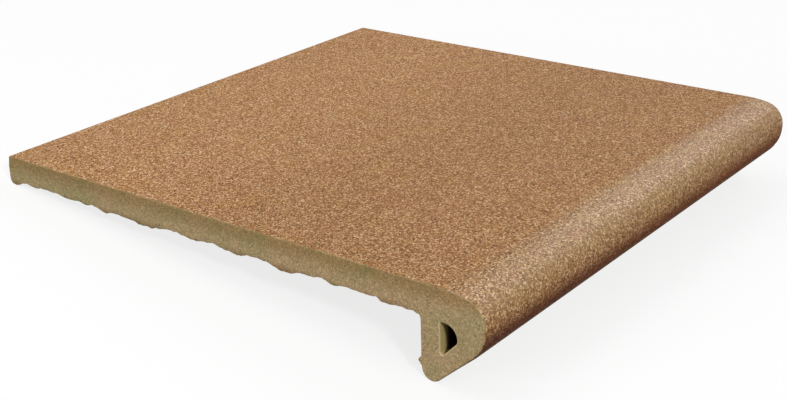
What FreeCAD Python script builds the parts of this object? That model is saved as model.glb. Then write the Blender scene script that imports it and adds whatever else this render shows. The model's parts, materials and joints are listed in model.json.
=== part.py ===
import FreeCAD, Part
import math
import os

# A stair nosing tile of extruded, fired clay: one piece with the same section all along its nose.
# The clay is pushed out of a die along the nose and wire-cut at both ends, so the section below is
# the whole tile: a flat tread, a rounded nose that hangs down in front as a drip leg with a
# half-moon hollow through it, and an underside with the ribs that are left where two tiles,
# pushed out back to back, were split apart.
#
# The section is drawn with y counted back from the nose's front and z up from the tread, so
# everything below the tread has a negative z. Lengths are in millimetres and angles in degrees.

# Overall sizes
tile_length = 325.0  # along the nose, from one cut end to the other
tile_depth = 331.0  # from the nose's front to the back edge
nose_height = 50.0  # from the tread down to the toe of the leg
plate_thickness = 15.0  # from the tread to the underside between the ribs

# Outside of the nose, from the tread down to the toe
ease_radius = 60.0  # the gentle roll from the tread towards the nose
nose_radius = 13.1  # the round that follows it, down to the upright front
front_top = 14.2  # depth below the tread at which the front is upright
front_flat = 1.8  # height of the upright front
chin_radius = 21.0  # from the upright front into the slanted face below it
toe_radius = 5.8  # round the toe, up to the back of the leg

# Back of the leg
leg_depth = 36.0  # from the nose's front to the back of the leg
leg_fillet = 4.5  # inside corner between leg and plate
web_scar_proud = 2.4  # low ridge where the web to the twin tile was torn off
web_scar_height = 4.8
web_scar_above_toe = 1.2  # from the end of the toe's round up to the ridge
web_scar_tip_radius = 0.7
sharp = 0.0  # the radius of a corner that isn't rounded

# Hollow that runs through the nose
hollow_back_wall = 10.8  # clay between the hollow and the back of the leg
hollow_front_wall = 15.7  # clay between the hollow and the nose's front
hollow_top_wall = 17.5  # clay between the hollow and the tread
hollow_front_flat = 0.4  # height of its upright front
hollow_front_slope = 46.5  # of its lower front, from level
# Radii of its rounds, as shares of its width
crown_share = 0.72  # between top and front
bend_share = 0.3  # between front and lower front
corner_share = 0.085  # between top and back
heel_share = 0.125  # between lower front and back

# Underside
rib_height = 2.0
rib_crest_width = 6.5
rib_root_width = 15.0
rib_pitch = 31.9
first_rib = 17.8  # from the back of the leg to the middle of the first rib
rib_crest_radius = 2.0
rib_root_radius = 3.0
back_bead_width = 5.0  # crest of the bead under the back edge
back_bead_flank = 5.0  # width of its slope down to the underside

# Back edge
back_lean = 1.2  # how far the upper half leans in towards the tread
back_lean_height = 7.0
back_lean_radius = 20.0  # between the leaning and the upright half
back_corner_radius = 3.6  # lower corner

# Arrises
back_chamfer = 0.8  # along the tread's back edge
end_arris_radius = 1.0  # where the wire-cut ends meet the tread and the nose

same_place = 0.001  # two points closer than this are one


def at(y, z):
    """A point of the section."""
    return FreeCAD.Vector(0, y, z)


def on_circle(centre, radius, angle):
    """The point of a circle at an angle, from +y towards +z."""
    turn = math.radians(angle)
    return centre + radius * at(math.cos(turn), math.sin(turn))


def line(start, end):
    return Part.LineSegment(start, end).toShape()


def arc(centre, radius, start_angle, end_angle):
    angles = (start_angle, (start_angle + end_angle) / 2, end_angle)
    return Part.Arc(*(on_circle(centre, radius, angle) for angle in angles)).toShape()


def bend(before, point, after, radius):
    """Start, middle and end of the round at a corner between two straight runs."""
    arriving = (point - before).normalize()
    leaving = (after - point).normalize()
    turn = arriving.getAngle(leaving)
    setback = radius * math.tan(turn / 2)
    inward = (leaving - arriving).normalize()
    middle = point + inward * (radius / math.cos(turn / 2) - radius)
    return point - arriving * setback, middle, point + leaving * setback


def rounded_path(corners, closed=False):
    """Straight runs from corner to corner, each corner rounded to its radius unless it is sharp."""
    points = [at(y, z) for y, z, radius in corners]
    edges = []
    ends = []
    for index, point in enumerate(points):
        radius = corners[index][2]
        if radius == sharp:
            ends.append((point, point))
            continue
        start, middle, end = bend(points[index - 1], point, points[(index + 1) % len(points)], radius)
        edges.append(Part.Arc(start, middle, end).toShape())
        ends.append((start, end))
    runs = list(zip(ends, ends[1:]))
    if closed:
        runs.append((ends[-1], ends[0]))
    edges += [line(left[1], reached[0]) for left, reached in runs]
    return Part.sortEdges(edges)[0]


# The toe is a round that touches the back of the leg and the tile's lowest level.
toe_centre = at(leg_depth - toe_radius, toe_radius - nose_height)

# The roll towards the nose and the nose's round share one tangent where they meet.
ease_turn = math.degrees(math.acos((ease_radius - front_top) / (ease_radius - nose_radius)))
nose_centre = at(nose_radius, -front_top)
ease_start = nose_centre.y + (ease_radius - nose_radius) * math.sin(math.radians(ease_turn))


def nose_edges():
    """The outside of the nose: roll, round, upright front, chin, slanted face and toe."""
    ease_centre = at(ease_start, -ease_radius)
    chin_centre = at(chin_radius, -front_top - front_flat)
    to_toe = toe_centre - chin_centre
    lean = math.degrees(math.asin((chin_radius - toe_radius) / to_toe.Length))
    slant = math.degrees(math.atan2(to_toe.z, to_toe.y)) + lean
    facing = slant - 90
    return [
        arc(ease_centre, ease_radius, 90, 90 + ease_turn),
        arc(nose_centre, nose_radius, 90 + ease_turn, 180),
        line(at(0, -front_top), at(0, chin_centre.z)),
        arc(chin_centre, chin_radius, 180, 360 + facing),
        line(on_circle(chin_centre, chin_radius, facing), on_circle(toe_centre, toe_radius, facing)),
        arc(toe_centre, toe_radius, facing, 0),
    ]


def web_scar_corners():
    """The torn ridge on the back of the leg, from its foot up."""
    foot = toe_centre.z + web_scar_above_toe
    return [
        (leg_depth, foot, sharp),
        (leg_depth + web_scar_proud, foot + web_scar_height / 2, web_scar_tip_radius),
        (leg_depth, foot + web_scar_height, sharp),
    ]


def rib_corners(middle):
    """One rib of the underside, from its side near the nose to its far side."""
    crest = -plate_thickness - rib_height
    return [
        (middle - rib_root_width / 2, -plate_thickness, rib_root_radius),
        (middle - rib_crest_width / 2, crest, rib_crest_radius),
        (middle + rib_crest_width / 2, crest, rib_crest_radius),
        (middle + rib_root_width / 2, -plate_thickness, rib_root_radius),
    ]


def underside_edges():
    """From the toe up the back of the leg, along the ribs to the back edge, and over it to the tread."""
    bead_inner = tile_depth - back_bead_width
    bead_root = bead_inner - back_bead_flank
    corners = [(toe_centre.y + toe_radius, toe_centre.z, sharp)]
    corners += web_scar_corners()
    corners.append((leg_depth, -plate_thickness, leg_fillet))
    middle = leg_depth + first_rib
    while middle + rib_root_width / 2 + rib_root_radius <= bead_root:
        corners += rib_corners(middle)
        middle += rib_pitch
    corners += [
        (bead_root, -plate_thickness, rib_root_radius),
        (bead_inner, -plate_thickness - rib_height, rib_crest_radius),
        (tile_depth, -plate_thickness - rib_height, back_corner_radius),
        (tile_depth, -back_lean_height, back_lean_radius),
        (tile_depth - back_lean, -back_chamfer, sharp),
        (tile_depth - back_lean - back_chamfer, 0, sharp),
        (ease_start, 0, sharp),
    ]
    return rounded_path(corners)


def hollow_edges():
    """The half-moon hollow: upright at the back, and following the nose at its front."""
    back = leg_depth - hollow_back_wall
    front = hollow_front_wall
    width = back - front
    top = -hollow_top_wall
    bend_height = bend_share * width * math.tan(math.radians(90 - hollow_front_slope) / 2)
    turning = top - crown_share * width - hollow_front_flat - bend_height
    foot = turning - width * math.tan(math.radians(hollow_front_slope))
    corners = [
        (back, top, corner_share * width),
        (front, top, crown_share * width),
        (front, turning, bend_share * width),
        (back, foot, heel_share * width),
    ]
    return rounded_path(corners, closed=True)


def extruded(edges):
    """What a die with this outline pushes out, cut to the tile's length."""
    return Part.Face(Part.Wire(edges)).extrude(FreeCAD.Vector(tile_length, 0, 0))


def ease_end_arrises(tile):
    """Rounds both ends' arrises along the tread and the nose, as far as the glaze goes."""
    glazed = []
    for edge in tile.Edges:
        box = edge.BoundBox
        at_an_end = box.XLength < same_place
        on_the_tread = box.ZMin > -same_place and box.YLength > tile_depth / 2
        above_the_chin = box.ZMin > -front_top - front_flat - same_place
        on_the_nose = box.YMax < ease_start + same_place and above_the_chin
        if at_an_end and (on_the_tread or on_the_nose):
            glazed.append(edge)
    return tile.makeFillet(end_arris_radius, glazed)


def make_tile():
    body = ease_end_arrises(extruded(nose_edges() + underside_edges()))
    return body.cut(extruded(hollow_edges()))


def set_down(tile):
    """The tile as it lies unheld on a level floor, on its toe and its back edge.

    Both are rounds, so the floor is the line that touches them from below. The tile's own frame
    has x along the nose, the nose towards -y, z up, and its origin on the floor below the middle
    of the tile's box.
    """
    back_centre = at(
        tile_depth - back_corner_radius,
        back_corner_radius - plate_thickness - rib_height,
    )
    reach = back_centre - toe_centre
    tilt = math.atan2(reach.z, reach.y) + math.asin((toe_radius - back_corner_radius) / reach.Length)
    laid = tile.copy()
    laid.rotate(FreeCAD.Vector(), FreeCAD.Vector(1, 0, 0), -math.degrees(tilt))
    box = laid.optimalBoundingBox(False)
    laid.translate(FreeCAD.Vector(-box.Center.x, -box.Center.y, -box.ZMin))
    return laid


def main():
    os.makedirs("parts", exist_ok=True)
    tile = set_down(make_tile())
    tile.exportStep("parts/stair_nosing_tile.step")
    box = tile.optimalBoundingBox(False)
    print("solids", len(tile.Solids), "faces", len(tile.Faces), "valid", tile.isValid())
    print("box", [round(v, 3) for v in (box.XMin, box.YMin, box.ZMin, box.XMax, box.YMax, box.ZMax)])
    print("volume cm3", round(tile.Volume / 1000, 1))


main()
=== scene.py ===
import json
import math
from collections import Counter

import bmesh
import bpy
from mathutils import Matrix, Vector

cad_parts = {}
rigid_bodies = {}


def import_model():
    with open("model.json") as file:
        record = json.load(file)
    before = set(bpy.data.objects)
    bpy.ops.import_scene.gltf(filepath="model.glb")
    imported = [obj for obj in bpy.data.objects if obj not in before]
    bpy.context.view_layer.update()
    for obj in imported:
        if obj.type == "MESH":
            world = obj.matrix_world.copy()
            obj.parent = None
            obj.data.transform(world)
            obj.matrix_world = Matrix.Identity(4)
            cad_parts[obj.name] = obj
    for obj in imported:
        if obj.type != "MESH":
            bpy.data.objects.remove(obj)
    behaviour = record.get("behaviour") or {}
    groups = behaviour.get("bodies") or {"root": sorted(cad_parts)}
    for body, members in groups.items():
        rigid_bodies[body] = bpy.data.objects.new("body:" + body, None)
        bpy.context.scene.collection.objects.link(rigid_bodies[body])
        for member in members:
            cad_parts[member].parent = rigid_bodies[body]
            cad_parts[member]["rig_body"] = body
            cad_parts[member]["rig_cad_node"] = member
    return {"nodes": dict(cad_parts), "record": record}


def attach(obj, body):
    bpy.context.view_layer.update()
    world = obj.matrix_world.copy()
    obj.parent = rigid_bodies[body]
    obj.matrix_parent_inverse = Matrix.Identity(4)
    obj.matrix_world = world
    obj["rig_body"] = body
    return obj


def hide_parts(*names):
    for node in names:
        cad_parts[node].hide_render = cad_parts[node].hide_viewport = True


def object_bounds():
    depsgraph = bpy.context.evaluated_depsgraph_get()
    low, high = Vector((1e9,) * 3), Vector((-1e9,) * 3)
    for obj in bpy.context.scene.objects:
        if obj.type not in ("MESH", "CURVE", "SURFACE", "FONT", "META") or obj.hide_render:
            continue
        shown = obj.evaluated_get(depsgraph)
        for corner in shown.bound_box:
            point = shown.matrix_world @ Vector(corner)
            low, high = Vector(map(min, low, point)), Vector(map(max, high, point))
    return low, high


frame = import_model()
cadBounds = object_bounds()
bpy.ops.object.select_all(action="DESELECT")
mm = 0.001
cutToMiddle = 162.5  # mm, from a cut end to the middle of the nose
firedClayIor = 1.5
samePlace = 1e-6  # m, closer points are one

# The tile lies tilted, on its toe and its back edge. It is worked on, measured and painted
# along its own axes: x along the nose, y back from the nose's front, z up from the tread.
mounts = {mount["name"]: mount for mount in frame["record"]["mounts"]}
cadTile = frame["nodes"]["stair_nosing_tile"]
up = Vector(mounts["tread_face"]["axis"])
back = Vector(mounts["back_edge"]["axis"])
along = Vector((1, 0, 0))
corner = (
    along * min(vertex.co.x for vertex in cadTile.data.vertices)
    + back * min(vertex.co.dot(back) for vertex in cadTile.data.vertices)
    + up * Vector(mounts["tread_face"]["pos_m"]).dot(up)
)
tileToScene = Matrix.Translation(corner) @ Matrix((along, back, up)).transposed().to_4x4()
sceneToTile = tileToScene.inverted()
print("axes: tilt", round(math.degrees(math.atan2(up.y, up.z)), 2), "degrees")


# Materials

def colour(hexCode):
    shares = [int(hexCode[start : start + 2], 16) / 255 for start in (1, 3, 5)]
    return (*(s / 12.92 if s <= 0.04045 else ((s + 0.055) / 1.055) ** 2.4 for s in shares), 1)


# adds a node: links is what goes into its inputs, a socket or a value, stops are a ramp's
# colours; a Mix node has its two colours at 6 and 7, and its two numbers at 2 and 3
def addNode(tree, kind, links=None, stops=(), **settings):
    node = tree.nodes.new("ShaderNode" + kind)
    for name, value in settings.items():
        setattr(node, name, value)
    for name, value in (links or {}).items():
        if isinstance(value, bpy.types.NodeSocket):
            tree.links.new(value, node.inputs[name])
        else:
            node.inputs[name].default_value = value
    for _ in stops[2:]:
        node.color_ramp.elements.new(0.5)
    for index, (position, shade) in enumerate(stops):
        node.color_ramp.elements[index].position = position
        node.color_ramp.elements[index].color = colour(shade)
    return node


def newMaterial(name):
    material = bpy.data.materials.new(name)
    material.use_nodes = True
    material.node_tree.nodes.clear()
    return material, material.node_tree


# the tile's own axes in mm, for patterns that know where on the section they are
def tilePlace(tree):
    objectPlace = addNode(tree, "TexCoord").outputs["Object"]
    toTile = addNode(
        tree,
        "Mapping",
        {
            "Vector": objectPlace,
            "Location": sceneToTile.translation / mm,
            "Rotation": sceneToTile.to_euler(),
            "Scale": (1 / mm, 1 / mm, 1 / mm),
        },
    )
    return toTile.outputs["Vector"]


# closes a material: its colour, its roughness, and a relief that is depth mm high
def setSurface(tree, shade, roughness, height, depth, strength=1.0):
    relief = addNode(
        tree, "Bump", {"Height": height, "Strength": strength, "Distance": depth * mm}
    )
    surface = addNode(
        tree,
        "BsdfPrincipled",
        {
            "Base Color": shade,
            "Roughness": roughness,
            "IOR": firedClayIor,
            "Normal": relief.outputs["Normal"],
        },
    )
    addNode(tree, "OutputMaterial", {"Surface": surface.outputs["BSDF"]})


clayLook = {
    "patch": 26.0,  # mm, patches of unevenly mixed clay
    "patchSeed": 2.0,
    "grain": 0.75,  # mm, grog grains in the body
    "grainDepth": 0.14,  # mm, relief of grains and pits
    "dome": 0.5,  # how far a grain's middle stands out, as a share of that
    "grainContrast": 0.55,
    "pit": 5.5,  # mm between pits
    "pitFloor": 0.05,  # its radius, as a share of that
    "pitRim": 0.11,
    "bandFrom": -2.0,  # mm, the clay is browner this close below the tread
    "bandTo": -12.0,
    "rimFrom": -13.2,  # mm, and greyer from here down to the torn edge
    "rimTo": -16.5,
    "rimBackFrom": 38.0,  # mm back from the nose's front, not in front of here
    "rimBackTo": 46.0,
    "roughness": 0.88,
}


# Bare clinker body, extruded, wire-cut and fired: matt olive tan, unevenly mixed, with fine
# grog that shows as lighter and darker grains and a few small pits, painted dark inside as shade;
# browner under the tread, where it took up iron from the engobe
def clayShade(tree, place):
    patches = addNode(
        tree,
        "TexNoise",
        {
            "Vector": place,
            "W": clayLook["patchSeed"],
            "Scale": 1 / clayLook["patch"],
            "Detail": 3.0,
            "Roughness": 0.6,
        },
        noise_dimensions="4D",
    )
    body = addNode(
        tree,
        "ValToRGB",
        {"Fac": patches.outputs["Fac"]},
        stops=((0.30, "#978a5f"), (0.45, "#a28d65"), (0.58, "#a98f69"), (0.72, "#b0916d")),
    )
    depth = addNode(tree, "SeparateXYZ", {"Vector": place})
    band = addNode(
        tree,
        "MapRange",
        {
            "Value": depth.outputs["Z"],
            "From Min": clayLook["bandTo"],
            "From Max": clayLook["bandFrom"],
        },
        interpolation_type="SMOOTHSTEP",
    )
    banded = addNode(
        tree,
        "Mix",
        {"Factor": band.outputs["Result"], 6: body.outputs["Color"], 7: colour("#e3d9c2")},
        data_type="RGBA",
        blend_type="MULTIPLY",
    )
    grains = addNode(tree, "TexVoronoi", {"Vector": place, "Scale": 1 / clayLook["grain"]})
    grainTone = addNode(tree, "SeparateColor", {"Color": grains.outputs["Color"]})
    grainShade = addNode(
        tree,
        "ValToRGB",
        {"Fac": grainTone.outputs["Red"]},
        stops=((0.0, "#838074"), (0.2, "#b3b2ae"), (0.75, "#c7c7c6"), (0.92, "#ececec")),
    )
    withGrains = addNode(
        tree,
        "Mix",
        {
            "Factor": clayLook["grainContrast"],
            6: banded.outputs[2],
            7: grainShade.outputs["Color"],
        },
        data_type="RGBA",
        blend_type="OVERLAY",
    )
    pits = addNode(tree, "TexVoronoi", {"Vector": place, "Scale": 1 / clayLook["pit"]})
    pitDepth = addNode(
        tree,
        "MapRange",
        {
            "Value": pits.outputs["Distance"],
            "From Min": clayLook["pitFloor"],
            "From Max": clayLook["pitRim"],
        },
    )
    # painted shade: each pit's floor is painted dark
    pitsPaintedShade = addNode(
        tree,
        "Mix",
        {"Factor": pitDepth.outputs["Result"], 6: colour("#5d5136"), 7: withGrains.outputs[2]},
        data_type="RGBA",
    )
    height = addNode(
        tree,
        "Math",
        {0: grains.outputs["Distance"], 1: -clayLook["dome"], 2: pitDepth.outputs["Result"]},
        operation="MULTIPLY_ADD",
    )
    return pitsPaintedShade.outputs[2], height.outputs["Value"]


clay, clayTree = newMaterial("bareClinkerWireCut")
clayPlace = tilePlace(clayTree)
clayColour, clayHeight = clayShade(clayTree, clayPlace)
clayAxes = addNode(clayTree, "SeparateXYZ", {"Vector": clayPlace})
rimBack = addNode(
    clayTree,
    "MapRange",
    {
        "Value": clayAxes.outputs["Y"],
        "From Min": clayLook["rimBackFrom"],
        "From Max": clayLook["rimBackTo"],
    },
)
rim = addNode(
    clayTree,
    "MapRange",
    {
        "Value": clayAxes.outputs["Z"],
        "From Min": clayLook["rimFrom"],
        "From Max": clayLook["rimTo"],
        "To Max": rimBack.outputs["Result"],
    },
    interpolation_type="SMOOTHSTEP",
)
rimmed = addNode(
    clayTree,
    "Mix",
    {"Factor": rim.outputs["Result"], 6: clayColour, 7: colour("#d6cfc6")},
    data_type="RGBA",
    blend_type="MULTIPLY",
)
setSurface(
    clayTree, rimmed.outputs[2], clayLook["roughness"], clayHeight, clayLook["grainDepth"]
)


tornLook = {
    "flake": 6.0,  # mm, flakes that the tear left
    "crumb": 2.4,  # mm
    "flakeWeight": 1.4,  # how much more the flakes count than the crumbs
    "cleft": 0.6,  # sum of both patterns in a cleft
    "top": 1.8,  # and on a crumb
    "contrast": 0.8,
    "tearDepth": 0.9,  # mm
    "roughness": 0.92,
}

# The same body where the twin tile was torn off: a coarse, crumbly break, with painted shade
# darker in its clefts and painted light paler on its crumbs than the cut clay
torn, tornTree = newMaterial("clinkerTornFromTwin")
tornPlace = tilePlace(tornTree)
tornClay, _ = clayShade(tornTree, tornPlace)
flakes = addNode(
    tornTree,
    "TexNoise",
    {"Vector": tornPlace, "Scale": 1 / tornLook["flake"], "Detail": 3.0, "Distortion": 0.8},
)
crumbs = addNode(
    tornTree,
    "TexNoise",
    {"Vector": tornPlace, "Scale": 1 / tornLook["crumb"], "Detail": 5.0, "Roughness": 0.7},
)
tear = addNode(
    tornTree,
    "Math",
    {0: flakes.outputs["Fac"], 1: tornLook["flakeWeight"], 2: crumbs.outputs["Fac"]},
    operation="MULTIPLY_ADD",
)
tearShare = addNode(
    tornTree,
    "MapRange",
    {
        "Value": tear.outputs["Value"],
        "From Min": tornLook["cleft"],
        "From Max": tornLook["top"],
    },
)
# painted shade in the clefts and painted light on the crumbs, following the tear's relief
tearLightAndShade = addNode(
    tornTree,
    "ValToRGB",
    {"Fac": tearShare.outputs["Result"]},
    stops=((0.2, "#7d776c"), (0.5, "#bcbab4"), (0.8, "#dad4c6")),
)
tornColour = addNode(
    tornTree,
    "Mix",
    {"Factor": tornLook["contrast"], 6: tornClay, 7: tearLightAndShade.outputs["Color"]},
    data_type="RGBA",
    blend_type="OVERLAY",
)
setSurface(
    tornTree,
    tornColour.outputs[2],
    tornLook["roughness"],
    tear.outputs["Value"],
    tornLook["tearDepth"],
)


hollowLook = {
    "arrisFrom": 0.6,  # mm in from the mouth, its worn arris, painted paler as a highlight, ends
    "arrisTo": 0.8,
    "mouthShare": 0.7,  # of the mouth's colour over the bare clay's
    "paleTo": 3.0,  # mm in from the mouth, the painted shade starts here
    "darkFrom": 8.0,  # mm, the painted shade is nearly black from here in
    "reliefShare": 0.5,  # of the bare clay's relief, which the core smoothed
    "roughness": 0.8,
}

# The same body inside the hollow, smoothed by the die's core: yellower at the mouths, with the
# worn arris there painted paler as a highlight, and painted shade farther in that turns it nearly
# black
hollow, hollowTree = newMaterial("clinkerInHollowPaintedShade")
hollowPlace = tilePlace(hollowTree)
hollowClay, hollowHeight = clayShade(hollowTree, hollowPlace)
hollowAxes = addNode(hollowTree, "SeparateXYZ", {"Vector": hollowPlace})
hollowDepth = addNode(
    hollowTree,
    "Math",
    {0: hollowAxes.outputs["X"], 1: cutToMiddle},
    operation="PINGPONG",
)
# painted highlight: the worn arris at each mouth is paler than the wall behind it
mouth = addNode(
    hollowTree,
    "MapRange",
    {
        "Value": hollowDepth.outputs["Value"],
        "From Min": hollowLook["arrisFrom"],
        "From Max": hollowLook["arrisTo"],
    },
)
mouthColour = addNode(
    hollowTree,
    "Mix",
    {"Factor": mouth.outputs["Result"], 6: colour("#c9b78c"), 7: colour("#bbab6f")},
    data_type="RGBA",
)
# painted shade: the wall darkens to nearly black farther in from the mouth
hollowShade = addNode(
    hollowTree,
    "MapRange",
    {
        "Value": hollowDepth.outputs["Value"],
        "From Min": hollowLook["paleTo"],
        "From Max": hollowLook["darkFrom"],
    },
    interpolation_type="SMOOTHSTEP",
)
hollowPale = addNode(
    hollowTree,
    "Mix",
    {"Factor": hollowLook["mouthShare"], 6: hollowClay, 7: mouthColour.outputs[2]},
    data_type="RGBA",
)
hollowColour = addNode(
    hollowTree,
    "Mix",
    {"Factor": hollowShade.outputs["Result"], 6: hollowPale.outputs[2], 7: colour("#1d140d")},
    data_type="RGBA",
)
setSurface(
    hollowTree,
    hollowColour.outputs[2],
    hollowLook["roughness"],
    hollowHeight,
    clayLook["grainDepth"],
    strength=hollowLook["reliefShare"],
)


engobeLook = {
    "grain": 0.74,  # mm, coloured grains
    "fineGrain": 0.45,  # mm
    "fineContrast": 0.7,
    "mottle": 30.0,  # mm, warmer and yellower clouds
    "mottleContrast": 0.6,
    "speck": 6.5,  # mm between dark specks
    "speckCore": 0.04,  # its radius, as a share of that
    "speckEdge": 0.09,
    "grainDepth": 0.045,  # mm
    "fullAbove": -24.0,  # mm, the engobe covers everything higher
    "goneBelow": -38.0,  # mm, and has run out here
    "sprayDrift": 9.0,  # mm, how far its lower edge wanders up and down
    "chip": 2.4,  # mm, how unevenly it is worn off along the ends' arrises
    "lumps": 0.35,  # in a mm, of the patterns that both edges follow
    "bareTo": 0.25,  # mm in from the ends, the clay is mostly bare up to here
    "coveredFrom": 0.65,  # mm, and mostly covered from here
    "treadShadeFrom": 260.0,  # mm back from the nose's front, painted a little darker in front of here, as shade
    "treadShadeTo": 110.0,
    "rubbedAndShadedFrom": 26.0,  # mm back, and rubbed smoother by feet in front of here, and painted a little greyer there as shade
    "rubbedAndShadedFull": 18.0,
    "noseShadeTop": -3.5,  # mm, that painted shade is full down to here
    "noseShadeTo": -6.5,
    "paleTopFrom": -3.0,  # mm, and painted paler below that, as light on the upright front
    "paleTopTo": -6.0,
    "paleFrom": -6.5,
    "paleTo": -15.0,
    "paleness": 0.24,
    "darkFrom": -12.5,  # mm, painted shade darkens it from here down
    "darkTo": -24.0,
    "palerShadeAt": 230.0,  # mm along the nose, the painted shade is darkest at the left end
    "treadRoughness": (0.58, 0.78),  # dull and fired rough
    "noseRoughness": (0.24, 0.38),  # rubbed smoother
}

# Fired engobe with coloured grains, sprayed on tread and nose: matt brown, speckled with tan
# and dark grains, with rare iron specks, and with a soft sheen where feet rub the nose smoother;
# the tread is painted a little darker towards the nose and the nose's top a little greyer, both
# as shade, the nose's upright front paler, as painted light, and its lower front darker, as
# painted shade; lower still it thins out to the clay
engobe, engobeTree = newMaterial("speckledEngobeFired")
engobePlace = tilePlace(engobeTree)
bareColour, bareHeight = clayShade(engobeTree, engobePlace)
grains = addNode(
    engobeTree, "TexVoronoi", {"Vector": engobePlace, "Scale": 1 / engobeLook["grain"]}
)
grainTone = addNode(engobeTree, "SeparateColor", {"Color": grains.outputs["Color"]})
grainColour = addNode(
    engobeTree,
    "ValToRGB",
    {"Fac": grainTone.outputs["Red"]},
    stops=(
        (0.0, "#6b3b0e"),
        (0.18, "#98652f"),
        (0.5, "#ae7d4a"),
        (0.8, "#ca9d6e"),
        (0.97, "#edc8a3"),
    ),
)
fineGrains = addNode(
    engobeTree, "TexVoronoi", {"Vector": engobePlace, "Scale": 1 / engobeLook["fineGrain"]}
)
fineTone = addNode(engobeTree, "SeparateColor", {"Color": fineGrains.outputs["Color"]})
fineColour = addNode(
    engobeTree,
    "ValToRGB",
    {"Fac": fineTone.outputs["Green"]},
    stops=((0.0, "#857f74"), (0.5, "#b8b7b4"), (1.0, "#e6e4e1")),
)
bothGrains = addNode(
    engobeTree,
    "Mix",
    {
        "Factor": engobeLook["fineContrast"],
        6: grainColour.outputs["Color"],
        7: fineColour.outputs["Color"],
    },
    data_type="RGBA",
    blend_type="OVERLAY",
)
mottle = addNode(
    engobeTree,
    "TexNoise",
    {"Vector": engobePlace, "Scale": 1 / engobeLook["mottle"], "Detail": 3.0, "Roughness": 0.65},
)
mottleColour = addNode(
    engobeTree,
    "ValToRGB",
    {"Fac": mottle.outputs["Fac"]},
    stops=((0.32, "#bbb5b9"), (0.5, "#bcbcb9"), (0.68, "#bfbeac")),
)
mottled = addNode(
    engobeTree,
    "Mix",
    {
        "Factor": engobeLook["mottleContrast"],
        6: bothGrains.outputs[2],
        7: mottleColour.outputs["Color"],
    },
    data_type="RGBA",
    blend_type="OVERLAY",
)
specks = addNode(
    engobeTree, "TexVoronoi", {"Vector": engobePlace, "Scale": 1 / engobeLook["speck"]}
)
speckShare = addNode(
    engobeTree,
    "MapRange",
    {
        "Value": specks.outputs["Distance"],
        "From Min": engobeLook["speckCore"],
        "From Max": engobeLook["speckEdge"],
    },
)
specked = addNode(
    engobeTree,
    "Mix",
    {"Factor": speckShare.outputs["Result"], 6: colour("#3a2417"), 7: mottled.outputs[2]},
    data_type="RGBA",
)
section = addNode(engobeTree, "SeparateXYZ", {"Vector": engobePlace})
spray = addNode(
    engobeTree,
    "TexNoise",
    {"Vector": engobePlace, "Scale": engobeLook["lumps"], "Detail": 4.0},
)
rubbedAndShadedBack = addNode(
    engobeTree,
    "MapRange",
    {
        "Value": section.outputs["Y"],
        "From Min": engobeLook["rubbedAndShadedFrom"],
        "From Max": engobeLook["rubbedAndShadedFull"],
    },
    interpolation_type="SMOOTHSTEP",
)
# painted shade: the tread a little darker towards the nose
treadShadeBack = addNode(
    engobeTree,
    "MapRange",
    {
        "Value": section.outputs["Y"],
        "From Min": engobeLook["treadShadeFrom"],
        "From Max": engobeLook["treadShadeTo"],
    },
    interpolation_type="SMOOTHSTEP",
)
treadShadeShare = addNode(
    engobeTree,
    "Math",
    {0: treadShadeBack.outputs["Result"], 1: rubbedAndShadedBack.outputs["Result"]},
    operation="SUBTRACT",
)
treadShaded = addNode(
    engobeTree,
    "Mix",
    {"Factor": treadShadeShare.outputs["Value"], 6: specked.outputs[2], 7: colour("#ece9e4")},
    data_type="RGBA",
    blend_type="MULTIPLY",
)
# painted shade: the nose's rounded top, where its highlight lies, a little darker and greyer
noseShadeShare = addNode(
    engobeTree,
    "MapRange",
    {
        "Value": section.outputs["Z"],
        "From Min": engobeLook["noseShadeTo"],
        "From Max": engobeLook["noseShadeTop"],
        "To Max": rubbedAndShadedBack.outputs["Result"],
    },
    interpolation_type="SMOOTHSTEP",
)
noseShaded = addNode(
    engobeTree,
    "Mix",
    {"Factor": noseShadeShare.outputs["Result"], 6: treadShaded.outputs[2], 7: colour("#f0f6f5")},
    data_type="RGBA",
    blend_type="MULTIPLY",
)
paleTop = addNode(
    engobeTree,
    "MapRange",
    {
        "Value": section.outputs["Z"],
        "From Min": engobeLook["paleTopFrom"],
        "From Max": engobeLook["paleTopTo"],
    },
    interpolation_type="SMOOTHSTEP",
)
paleShare = addNode(
    engobeTree,
    "MapRange",
    {
        "Value": section.outputs["Z"],
        "From Min": engobeLook["paleTo"],
        "From Max": engobeLook["paleFrom"],
        "To Max": engobeLook["paleness"],
    },
)
paled = addNode(
    engobeTree,
    "Math",
    {0: paleTop.outputs["Result"], 1: paleShare.outputs["Result"]},
    operation="MULTIPLY",
)
# painted light: the nose's upright front a little paler
paintedLightFront = addNode(
    engobeTree,
    "Mix",
    {"Factor": paled.outputs["Value"], 6: noseShaded.outputs[2], 7: colour("#bdae8e")},
    data_type="RGBA",
)
# painted shade on the nose's lower front, which turns down away from the light
lowerFrontShadeAndMatt = addNode(
    engobeTree,
    "MapRange",
    {
        "Value": section.outputs["Z"],
        "From Min": engobeLook["darkFrom"],
        "From Max": engobeLook["darkTo"],
    },
    interpolation_type="SMOOTHSTEP",
)
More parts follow.
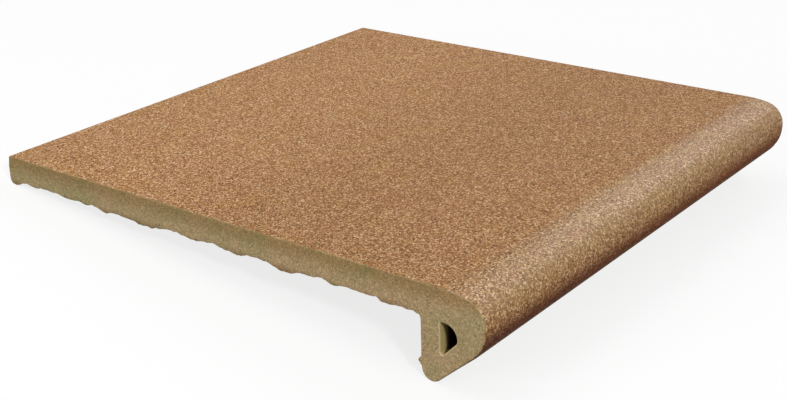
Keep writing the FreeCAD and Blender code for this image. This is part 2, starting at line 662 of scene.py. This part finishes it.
# that painted shade is darker towards the left end
shadeAlong = addNode(
    engobeTree,
    "MapRange",
    {"Value": section.outputs["X"], "From Max": engobeLook["palerShadeAt"]},
)
shadeTint = addNode(
    engobeTree,
    "Mix",
    {"Factor": shadeAlong.outputs["Result"], 6: colour("#96705e"), 7: colour("#c09986")},
    data_type="RGBA",
)
shadedBelow = addNode(
    engobeTree,
    "Mix",
    {"Factor": lowerFrontShadeAndMatt.outputs["Result"], 6: paintedLightFront.outputs[2], 7: shadeTint.outputs[2]},
    data_type="RGBA",
    blend_type="MULTIPLY",
)
sprayEdge = addNode(
    engobeTree,
    "Math",
    {0: spray.outputs["Fac"], 1: engobeLook["sprayDrift"], 2: section.outputs["Z"]},
    operation="MULTIPLY_ADD",
)
lowerCover = addNode(
    engobeTree,
    "MapRange",
    {
        "Value": sprayEdge.outputs["Value"],
        "From Min": engobeLook["goneBelow"] + engobeLook["sprayDrift"] / 2,
        "From Max": engobeLook["fullAbove"] + engobeLook["sprayDrift"] / 2,
    },
    interpolation_type="SMOOTHSTEP",
)
fromCut = addNode(
    engobeTree,
    "Math",
    {0: section.outputs["X"], 1: cutToMiddle},
    operation="PINGPONG",
)
chips = addNode(
    engobeTree,
    "TexNoise",
    {"Vector": engobePlace, "Scale": engobeLook["lumps"], "Detail": 5.0},
)
chippedEdge = addNode(
    engobeTree,
    "Math",
    {0: chips.outputs["Fac"], 1: engobeLook["chip"], 2: fromCut.outputs["Value"]},
    operation="MULTIPLY_ADD",
)
endCover = addNode(
    engobeTree,
    "MapRange",
    {
        "Value": chippedEdge.outputs["Value"],
        "From Min": engobeLook["chip"] / 2 + engobeLook["bareTo"],
        "From Max": engobeLook["chip"] / 2 + engobeLook["coveredFrom"],
    },
)
cover = addNode(
    engobeTree,
    "Math",
    {0: lowerCover.outputs["Result"], 1: endCover.outputs["Result"]},
    operation="MULTIPLY",
)
engobeColour = addNode(
    engobeTree,
    "Mix",
    {"Factor": cover.outputs["Value"], 6: bareColour, 7: shadedBelow.outputs[2]},
    data_type="RGBA",
)
engobeHeight = addNode(
    engobeTree,
    "Mix",
    {"Factor": cover.outputs["Value"], 2: bareHeight, 3: grains.outputs["Distance"]},
    data_type="FLOAT",
)
treadSheen, noseSheen = [
    addNode(
        engobeTree,
        "MapRange",
        {"Value": fineTone.outputs["Red"], "To Min": smoothest, "To Max": roughest},
    )
    for smoothest, roughest in (engobeLook["treadRoughness"], engobeLook["noseRoughness"])
]
sheen = addNode(
    engobeTree,
    "Mix",
    {
        "Factor": rubbedAndShadedBack.outputs["Result"],
        2: treadSheen.outputs["Result"],
        3: noseSheen.outputs["Result"],
    },
    data_type="FLOAT",
)
# the lower front's painted-shade region is also matt like the bare clay
engobeRoughness = addNode(
    engobeTree,
    "Mix",
    {"Factor": lowerFrontShadeAndMatt.outputs["Result"], 2: sheen.outputs[0], 3: clayLook["roughness"]},
    data_type="FLOAT",
)
setSurface(
    engobeTree,
    engobeColour.outputs[2],
    engobeRoughness.outputs[0],
    engobeHeight.outputs[0],
    engobeLook["grainDepth"],
)
print("materials: engobe", len(engobeTree.nodes), "nodes, clay", len(clayTree.nodes), "nodes")


# The tile: a fine copy of the CAD body, with the torn faces that splitting leaves

tileForm = {
    "cutEvery": 2.2,  # mm along the nose from one cut to the next
    "tornStrip": 1.9,  # mm, widest strip of the torn underside and leg
    "treadStrip": 8.0,  # mm, widest strip of the tread
    "noseStrip": 3.4,  # mm, widest strip of the nose
    "sharpAbove": 57.3,  # degrees, an edge of the cut ends that turns more is an arris
    "smoothBelow": 38.0,  # degrees, a crease that turns more stays sharp
    "mergeBelow": 0.01,  # mm, corners of the CAD's mesh that are closer become one
    "flatBelow": 0.3,  # degrees, a seam of that mesh that turns less is dissolved
    "endNormal": 0.95,  # share along the nose of a cut end's normal
    "treadNormal": 0.2,  # share upwards of the tread's normal, its worn arrises included
    "scarShare": 0.2,  # of the scar's weight, past which its clay looks torn
    # the lines below are in mm: back is back from the nose's front, height from the tread up,
    # and down from the tread down; a pair is where something starts and is there in full
    "legBack": 35.5,  # back, what lies farther back is leg or underside
    "treadHeight": -0.01,  # only the tread is higher
    "undersideHeight": -14.4,  # everything lower and behind the leg is torn
    "hollowBack": (14.8, 26.4),  # what lies in both of these is the hollow's wall
    "hollowHeight": (-38.5, -16.5),
    "arris": 0.3,  # worn edge of the bare clay at the cut ends
    "mouthArris": 0.6,  # the same round the hollow's mouths
    "glazedHeight": -0.9,  # the tread's engobe ends here
    "glazedBack": 34.0,  # and the nose's here, back
    "glazedToe": -48.0,  # and here, height
    "tornLookBack": 40.0,  # the torn clay's look starts here
    "filletBack": (38.0, 42.0),  # the tear past the leg's fillet
    "plateDown": (14.2, 14.8),  # the tear past the plate's own height
    "beadBack": (322.0, 328.0),  # the tear calms towards the bead under the back edge
    "beadCalm": 0.8,
    "valleyHeight": -15.0,  # underside between the ribs
    "crestDown": (-0.6, 2.0),  # a rib, measured down from there
    "scarHeight": (-45.0, -37.0),  # lowest and highest point of the scar on the leg
    "scarBack": (35.9, 37.4),
    "legSideBack": (34.5, 35.8),  # the leg's back, between its fillet and the toe's round
    "legSideDown": (19.0, 23.0),
    "legSideHeight": (-47.5, -43.5),
    "frontBack": 34.5,  # the nose's lower front, up to here
    "frontDown": (12.0, 24.0),
    "frontHeight": (-46.0, -38.0),
    "slantDown": (22.0, 30.0),
    "wornEnd": 3.0,  # how far in from the ends it is worn
    "breakReach": (1.5, 9.0),  # in from the left end, its own broken outline fades out
    "breakBack": (36.6, 38.0),
    "breakLowest": -21.0,  # height, what is lower is the leg's back
    "breakPush": 3.0,  # farthest that a point is moved to that outline
    # back and down, along that end's broken outline
    "breakOutline": (
        (37, 17.4), (39, 16.3), (41, 15.9), (48, 16.1), (52, 16.7), (59, 16.6), (62, 14.9),
        (70, 15.5), (77, 14.9), (84, 15.7), (88, 16.2), (95, 14.2), (103, 15.5), (111, 15.6),
        (115, 17.4), (119, 17.7), (123, 17.3), (127, 15.8), (135, 14.8), (143, 15.2), (151, 16.7),
        (160, 15.6), (164, 14.8), (172, 14.8), (181, 16.1), (190, 15.4), (194, 14.7), (199, 14.7),
        (208, 16.0), (213, 16.9), (222, 17.2), (226, 16.1), (236, 16.0), (241, 15.4), (250, 16.8),
        (260, 14.7), (265, 15.8), (270, 15.1), (280, 15.7), (290, 14.4), (296, 14.9), (301, 14.4),
        (311, 15.5), (316, 14.2), (322, 15.3),
    ),
}


# selects the edges that pass the test and no others, and tells how many they are
def selectEdges(test):
    mesh = bmesh.from_edit_mesh(tile.data)
    bpy.ops.mesh.select_all(action="DESELECT")
    for edge in mesh.edges:
        edge.select = test(edge)
    mesh.select_flush_mode()
    bmesh.update_edit_mesh(tile.data)
    return sum(edge.select for edge in mesh.edges)


def middle(edge):
    return (edge.verts[0].co + edge.verts[1].co) / 2 / mm


def runsAcross(edge):
    return abs(edge.verts[0].co.x - edge.verts[1].co.x) < samePlace


def isSharpAtEnd(edge):
    atEnd = min(abs(edge.verts[0].co.x), abs(tileLength - edge.verts[0].co.x)) < samePlace
    if not (atEnd and runsAcross(edge) and edge.is_manifold):
        return False
    return edge.calc_face_angle() > math.radians(tileForm["sharpAbove"])


# splits the strips that run along the nose until none in the region is wider than asked
def narrowStrips(widest, inRegion):
    while selectEdges(
        lambda edge: runsAcross(edge)
        and edge.calc_length() > widest * mm
        and inRegion(middle(edge))
    ):
        bpy.ops.mesh.subdivide(number_cuts=1)


def isTorn(point):
    return point.y > tileForm["legBack"] and point.z < tileForm["undersideHeight"]


def isTread(point):
    return point.z > tileForm["treadHeight"]


def isNose(point):
    return point.y < tileForm["legBack"] and point.z < tileForm["treadHeight"]


# marks vertices for a modifier; the weight is worked out from the place in mm
def weigh(name, weight):
    group = tile.vertex_groups.new(name=name)
    for vertex in tile.data.vertices:
        share = min(1, weight(vertex.co / mm))
        if share > 0:
            group.add([vertex.index], share, "REPLACE")


def applied(modifier):
    bpy.ops.object.modifier_apply(modifier=modifier.name)


# moves the marked vertices by a cloud pattern whose lumps have the size (x, y, z) in mm
def roughen(name, weight, lump, depth, direction, kind="SOFT_NOISE", detail=2, start=0):
    weigh(name, weight)
    bpy.ops.object.empty_add()
    pattern = bpy.context.object
    pattern.location = (start * mm, start * mm, start * mm)
    pattern.scale = [size * mm for size in lump]
    bpy.context.view_layer.objects.active = tile
    clouds = bpy.data.textures.new(name, "CLOUDS")
    clouds.noise_basis = "ORIGINAL_PERLIN"
    clouds.noise_type = kind
    clouds.noise_scale = 1.0
    clouds.noise_depth = detail
    modifier = tile.modifiers.new(name, "DISPLACE")
    modifier.texture = clouds
    modifier.texture_coords = "OBJECT"
    modifier.texture_coords_object = pattern
    modifier.direction = direction
    modifier.vertex_group = name
    modifier.mid_level = 0.5
    modifier.strength = depth * mm
    applied(modifier)
    bpy.data.objects.remove(pattern)


# moves the marked vertices evenly, by mm
def push(name, weight, amount, direction):
    weigh(name, weight)
    modifier = tile.modifiers.new(name, "DISPLACE")
    modifier.direction = direction
    modifier.vertex_group = name
    modifier.mid_level = 0
    modifier.strength = amount * mm
    applied(modifier)


# 0 up to start and 1 from end on, with a smooth change between them
def fade(value, start, end):
    share = min(1, max(0, (value - start) / (end - start)))
    return share * share * (3 - 2 * share)


def fromEnd(point):
    return min(point.x, tileLength / mm - point.x)


def onUnderside(point):
    behindLeg = fade(point.y, *tileForm["filletBack"])
    underPlate = fade(-point.z, *tileForm["plateDown"])
    calm = 1 - tileForm["beadCalm"] * fade(point.y, *tileForm["beadBack"])
    return behindLeg * underPlate * calm


def onCrest(point):
    return onUnderside(point) * fade(tileForm["valleyHeight"] - point.z, *tileForm["crestDown"])


# how far the underside is above the left end's broken outline, as a share of the farthest push
def aboveBreak(point):
    behindLeg = fade(point.y, *tileForm["breakBack"])
    underPlate = fade(-point.z, *tileForm["plateDown"]) * (point.z > tileForm["breakLowest"])
    near = behindLeg * underPlate * (1 - fade(point.x, *tileForm["breakReach"]))
    outline = tileForm["breakOutline"]
    for (start, startDepth), (end, endDepth) in zip(outline, outline[1:]):
        if near > 0 and start <= point.y < end:
            depth = startDepth + (endDepth - startDepth) * (point.y - start) / (end - start)
            return (point.z + depth) / tileForm["breakPush"] * near
    return 0


def belowBreak(point):
    return -aboveBreak(point)


def onLegBack(point):
    belowFillet = fade(-point.z, *tileForm["legSideDown"])
    aboveToe = fade(point.z, *tileForm["legSideHeight"])
    return fade(point.y, *tileForm["legSideBack"]) * belowFillet * aboveToe


def onScar(point):
    low, high = tileForm["scarHeight"]
    return fade(point.y, *tileForm["scarBack"]) * (low < point.z < high)


def isHollow(point):
    front, rear = tileForm["hollowBack"]
    low, high = tileForm["hollowHeight"]
    return front < point.y < rear and low < point.z < high


def onLowerFront(point):
    outside = point.y < tileForm["frontBack"] and not isHollow(point)
    nearEnd = 1 - fade(fromEnd(point), 0, tileForm["wornEnd"])
    belowRound = fade(-point.z, *tileForm["frontDown"])
    return outside * nearEnd * belowRound * fade(point.z, *tileForm["frontHeight"])


def onSlant(point):
    return onLowerFront(point) * fade(-point.z, *tileForm["slantDown"])


cadTile.select_set(True)
bpy.context.view_layer.objects.active = cadTile
bpy.ops.object.duplicate()
tile = bpy.context.object
tile.name = "stairNosingTile"
# the copy is a piece of its own, and no longer the CAD's node
bpy.ops.object.parent_clear(type="CLEAR_KEEP_TRANSFORM")
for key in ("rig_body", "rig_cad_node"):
    del tile[key]
tile.data.transform(sceneToTile)
tile.data.materials.clear()
tileLength = max(vertex.co.x for vertex in tile.data.vertices)

bpy.ops.object.mode_set(mode="EDIT")
bpy.ops.mesh.select_mode(type="EDGE")
bpy.ops.mesh.select_all(action="SELECT")
bpy.ops.mesh.remove_doubles(threshold=tileForm["mergeBelow"] * mm)
bpy.ops.mesh.customdata_custom_splitnormals_clear()
bpy.ops.mesh.dissolve_limited(angle_limit=math.radians(tileForm["flatBelow"]))
# one subdivide makes a hundred cuts at most, so the long edges are halved first
halfLength = tileLength / 2
cutsInHalf = round(halfLength / mm / tileForm["cutEvery"]) - 1
for shortest, cuts in ((1.8 * halfLength, 1), (0.9 * halfLength, cutsInHalf)):
    selectEdges(lambda edge: not runsAcross(edge) and edge.calc_length() > shortest)
    bpy.ops.mesh.subdivide(number_cuts=cuts)
narrowStrips(tileForm["tornStrip"], isTorn)
narrowStrips(tileForm["treadStrip"], isTread)
narrowStrips(tileForm["noseStrip"], isNose)
for worn, isMouth in ((tileForm["arris"], False), (tileForm["mouthArris"], True)):
    selectEdges(lambda edge: isSharpAtEnd(edge) and isHollow(middle(edge)) == isMouth)
    bpy.ops.mesh.bevel(offset=worn * mm, segments=2, affect="EDGES")
bpy.ops.object.mode_set(mode="OBJECT")
print("tile cut into", len(tile.data.polygons), "faces")

for material in (clay, engobe, hollow, torn):
    tile.data.materials.append(material)
for face in tile.data.polygons:
    point = face.center / mm
    onEnd = abs(face.normal.x) > tileForm["endNormal"]
    facesUp = face.normal.z > tileForm["treadNormal"]
    onTread = point.z > tileForm["glazedHeight"] and facesUp
    onNose = point.y < tileForm["glazedBack"] and point.z > tileForm["glazedToe"]
    scarred = onScar(point) > tileForm["scarShare"]
    broken = isTorn(point) and point.y > tileForm["tornLookBack"] or scarred
    if isHollow(point) and not onEnd:
        face.material_index = 2
    elif (onTread or onNose) and not onEnd:
        face.material_index = 1
    elif broken and not onEnd:
        face.material_index = 3
facesOf = Counter(face.material_index for face in tile.data.polygons)
print("engobe on", facesOf[1], "faces, hollow", facesOf[2], "faces")

# lumps and depths in mm; start moves the pattern, so that no two are alike
roughen("ribsOfUnevenHeight", onCrest, (22, 12, 22), 2.4, "Z", start=3)
roughen("tornRibs", onCrest, (7, 6, 7), 1.5, "Z", kind="HARD_NOISE", start=11)
roughen("tornUnderside", onUnderside, (11, 9, 11), 1.4, "Z", kind="HARD_NOISE", start=7)
push("breakDown", aboveBreak, -tileForm["breakPush"], "Z")
push("breakUp", belowBreak, tileForm["breakPush"], "Z")
roughen("crumbs", onUnderside, (4.2, 3.6, 4.2), 1.9, "Z", detail=1, start=17)
roughen("brokenScar", onScar, (11, 40, 5), -3.4, "Y", detail=3, start=5)
roughen("legBack", onLegBack, (24, 30, 7), 0.9, "Y", detail=3, start=9)
push("wearFront", onLowerFront, 0.3, "Y")
push("wearSlant", onSlant, 0.45, "Z")

bpy.ops.object.shade_smooth_by_angle(angle=math.radians(tileForm["smoothBelow"]))
triangles = sum(len(face.vertices) - 2 for face in tile.data.polygons)
print("tile torn, worn and smoothed:", triangles, "triangles")

tile.matrix_world = tileToScene
tile.select_set(True)
bpy.ops.object.transform_apply(location=True, rotation=True, scale=True)
# no crumb reaches past the CAD's own box
for vertex in tile.data.vertices:
    vertex.co = [min(max(v, low), high) for v, low, high in zip(vertex.co, *cadBounds)]
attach(tile, "root")
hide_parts("stair_nosing_tile")


# Floor, light and camera

studio = {
    "world": 0.30,  # even light from all round
    "floorSize": 30,  # m
    "floorAlbedo": 0.22,  # what it throws back on the tile from below
    "floorWhite": 0.78,  # plain white added to what the camera sees of the floor
    "lampsAimAt": (162.5, 120, -10),  # mm, in the tile's axes
    # towards the lamp in the tile's axes, its distance, width and height in m, its strength in W
    "lamps": {
        "topSoftbox": ((-0.15, 0.35, 0.92), 1.5, 1.2, 1.2, 6.2),
        "noseSoftbox": ((0.80, -0.09, 0.65), 1.6, 1.6, 1.0, 5.6),
        "frontSoftbox": ((-0.45, -0.75, 0.47), 2.2, 0.3, 0.3, 20.5),
        "endSoftbox": ((-0.90, 0.20, 0.30), 2.6, 1.3, 1.3, 24.0),
    },
}

bpy.ops.mesh.primitive_plane_add(size=studio["floorSize"], location=(0, 0, 0))
floor = bpy.context.object
floor.name = "floor"
floorMaterial, floorTree = newMaterial("paintedBoard")
floorMatt = addNode(
    floorTree,
    "BsdfDiffuse",
    {"Color": (studio["floorAlbedo"], studio["floorAlbedo"], studio["floorAlbedo"], 1)},
)
floorRay = addNode(floorTree, "LightPath")
floorSeen = addNode(
    floorTree,
    "Math",
    {0: floorRay.outputs["Is Camera Ray"], 1: studio["floorWhite"]},
    operation="MULTIPLY",
)
floorGlow = addNode(
    floorTree, "Emission", {"Color": (1, 1, 1, 1), "Strength": floorSeen.outputs["Value"]}
)
floorSum = addNode(
    floorTree, "AddShader", {0: floorMatt.outputs["BSDF"], 1: floorGlow.outputs["Emission"]}
)
addNode(floorTree, "OutputMaterial", {"Surface": floorSum.outputs["Shader"]})
floor.data.materials.append(floorMaterial)

world = bpy.data.worlds.new("softRoom")
bpy.context.scene.world = world
world.use_nodes = True
worldTree = world.node_tree
worldTree.nodes.clear()
worldRay = addNode(worldTree, "LightPath")
worldStrength = addNode(
    worldTree,
    "MapRange",
    {"Value": worldRay.outputs["Is Camera Ray"], "To Min": studio["world"], "To Max": 1.0},
)
worldLight = addNode(
    worldTree,
    "Background",
    {"Color": (1, 1, 1, 1), "Strength": worldStrength.outputs["Result"]},
)
addNode(worldTree, "OutputWorld", {"Surface": worldLight.outputs["Background"]})

lampsAimAt = Vector(studio["lampsAimAt"]) * mm
for name, (direction, distance, width, height, power) in studio["lamps"].items():
    bpy.ops.object.light_add(type="AREA")
    lamp = bpy.context.object
    lamp.name = name
    lamp.data.shape = "ELLIPSE"
    lamp.data.size = width
    lamp.data.size_y = height
    lamp.data.energy = power
    towards = Vector(direction).normalized()
    place = Matrix.Translation(lampsAimAt + towards * distance)
    turn = towards.to_track_quat("Z", "Y").to_matrix().to_4x4()
    lamp.matrix_world = tileToScene @ place @ turn

cameraView = {
    "eye": (-443.4, -300.5, 269.7),  # mm, in the tile's axes
    "aim": (69.75, 104.41, 0.0),
    "roll": -0.0317,  # radians
    "lens": 62.58,  # mm
}

bpy.ops.object.camera_add()
camera = bpy.context.object
camera.data.lens = cameraView["lens"]
camera.data.sensor_width = 36
camera.data.clip_start = 0.01
eye = Vector(cameraView["eye"]) * mm
aim = Vector(cameraView["aim"]) * mm
look = (aim - eye).to_track_quat("-Z", "Y").to_matrix().to_4x4()
roll = Matrix.Rotation(cameraView["roll"], 4, "Z")
camera.matrix_world = tileToScene @ Matrix.Translation(eye) @ look @ roll
bpy.context.scene.camera = camera
bpy.context.scene.view_settings.view_transform = "Standard"
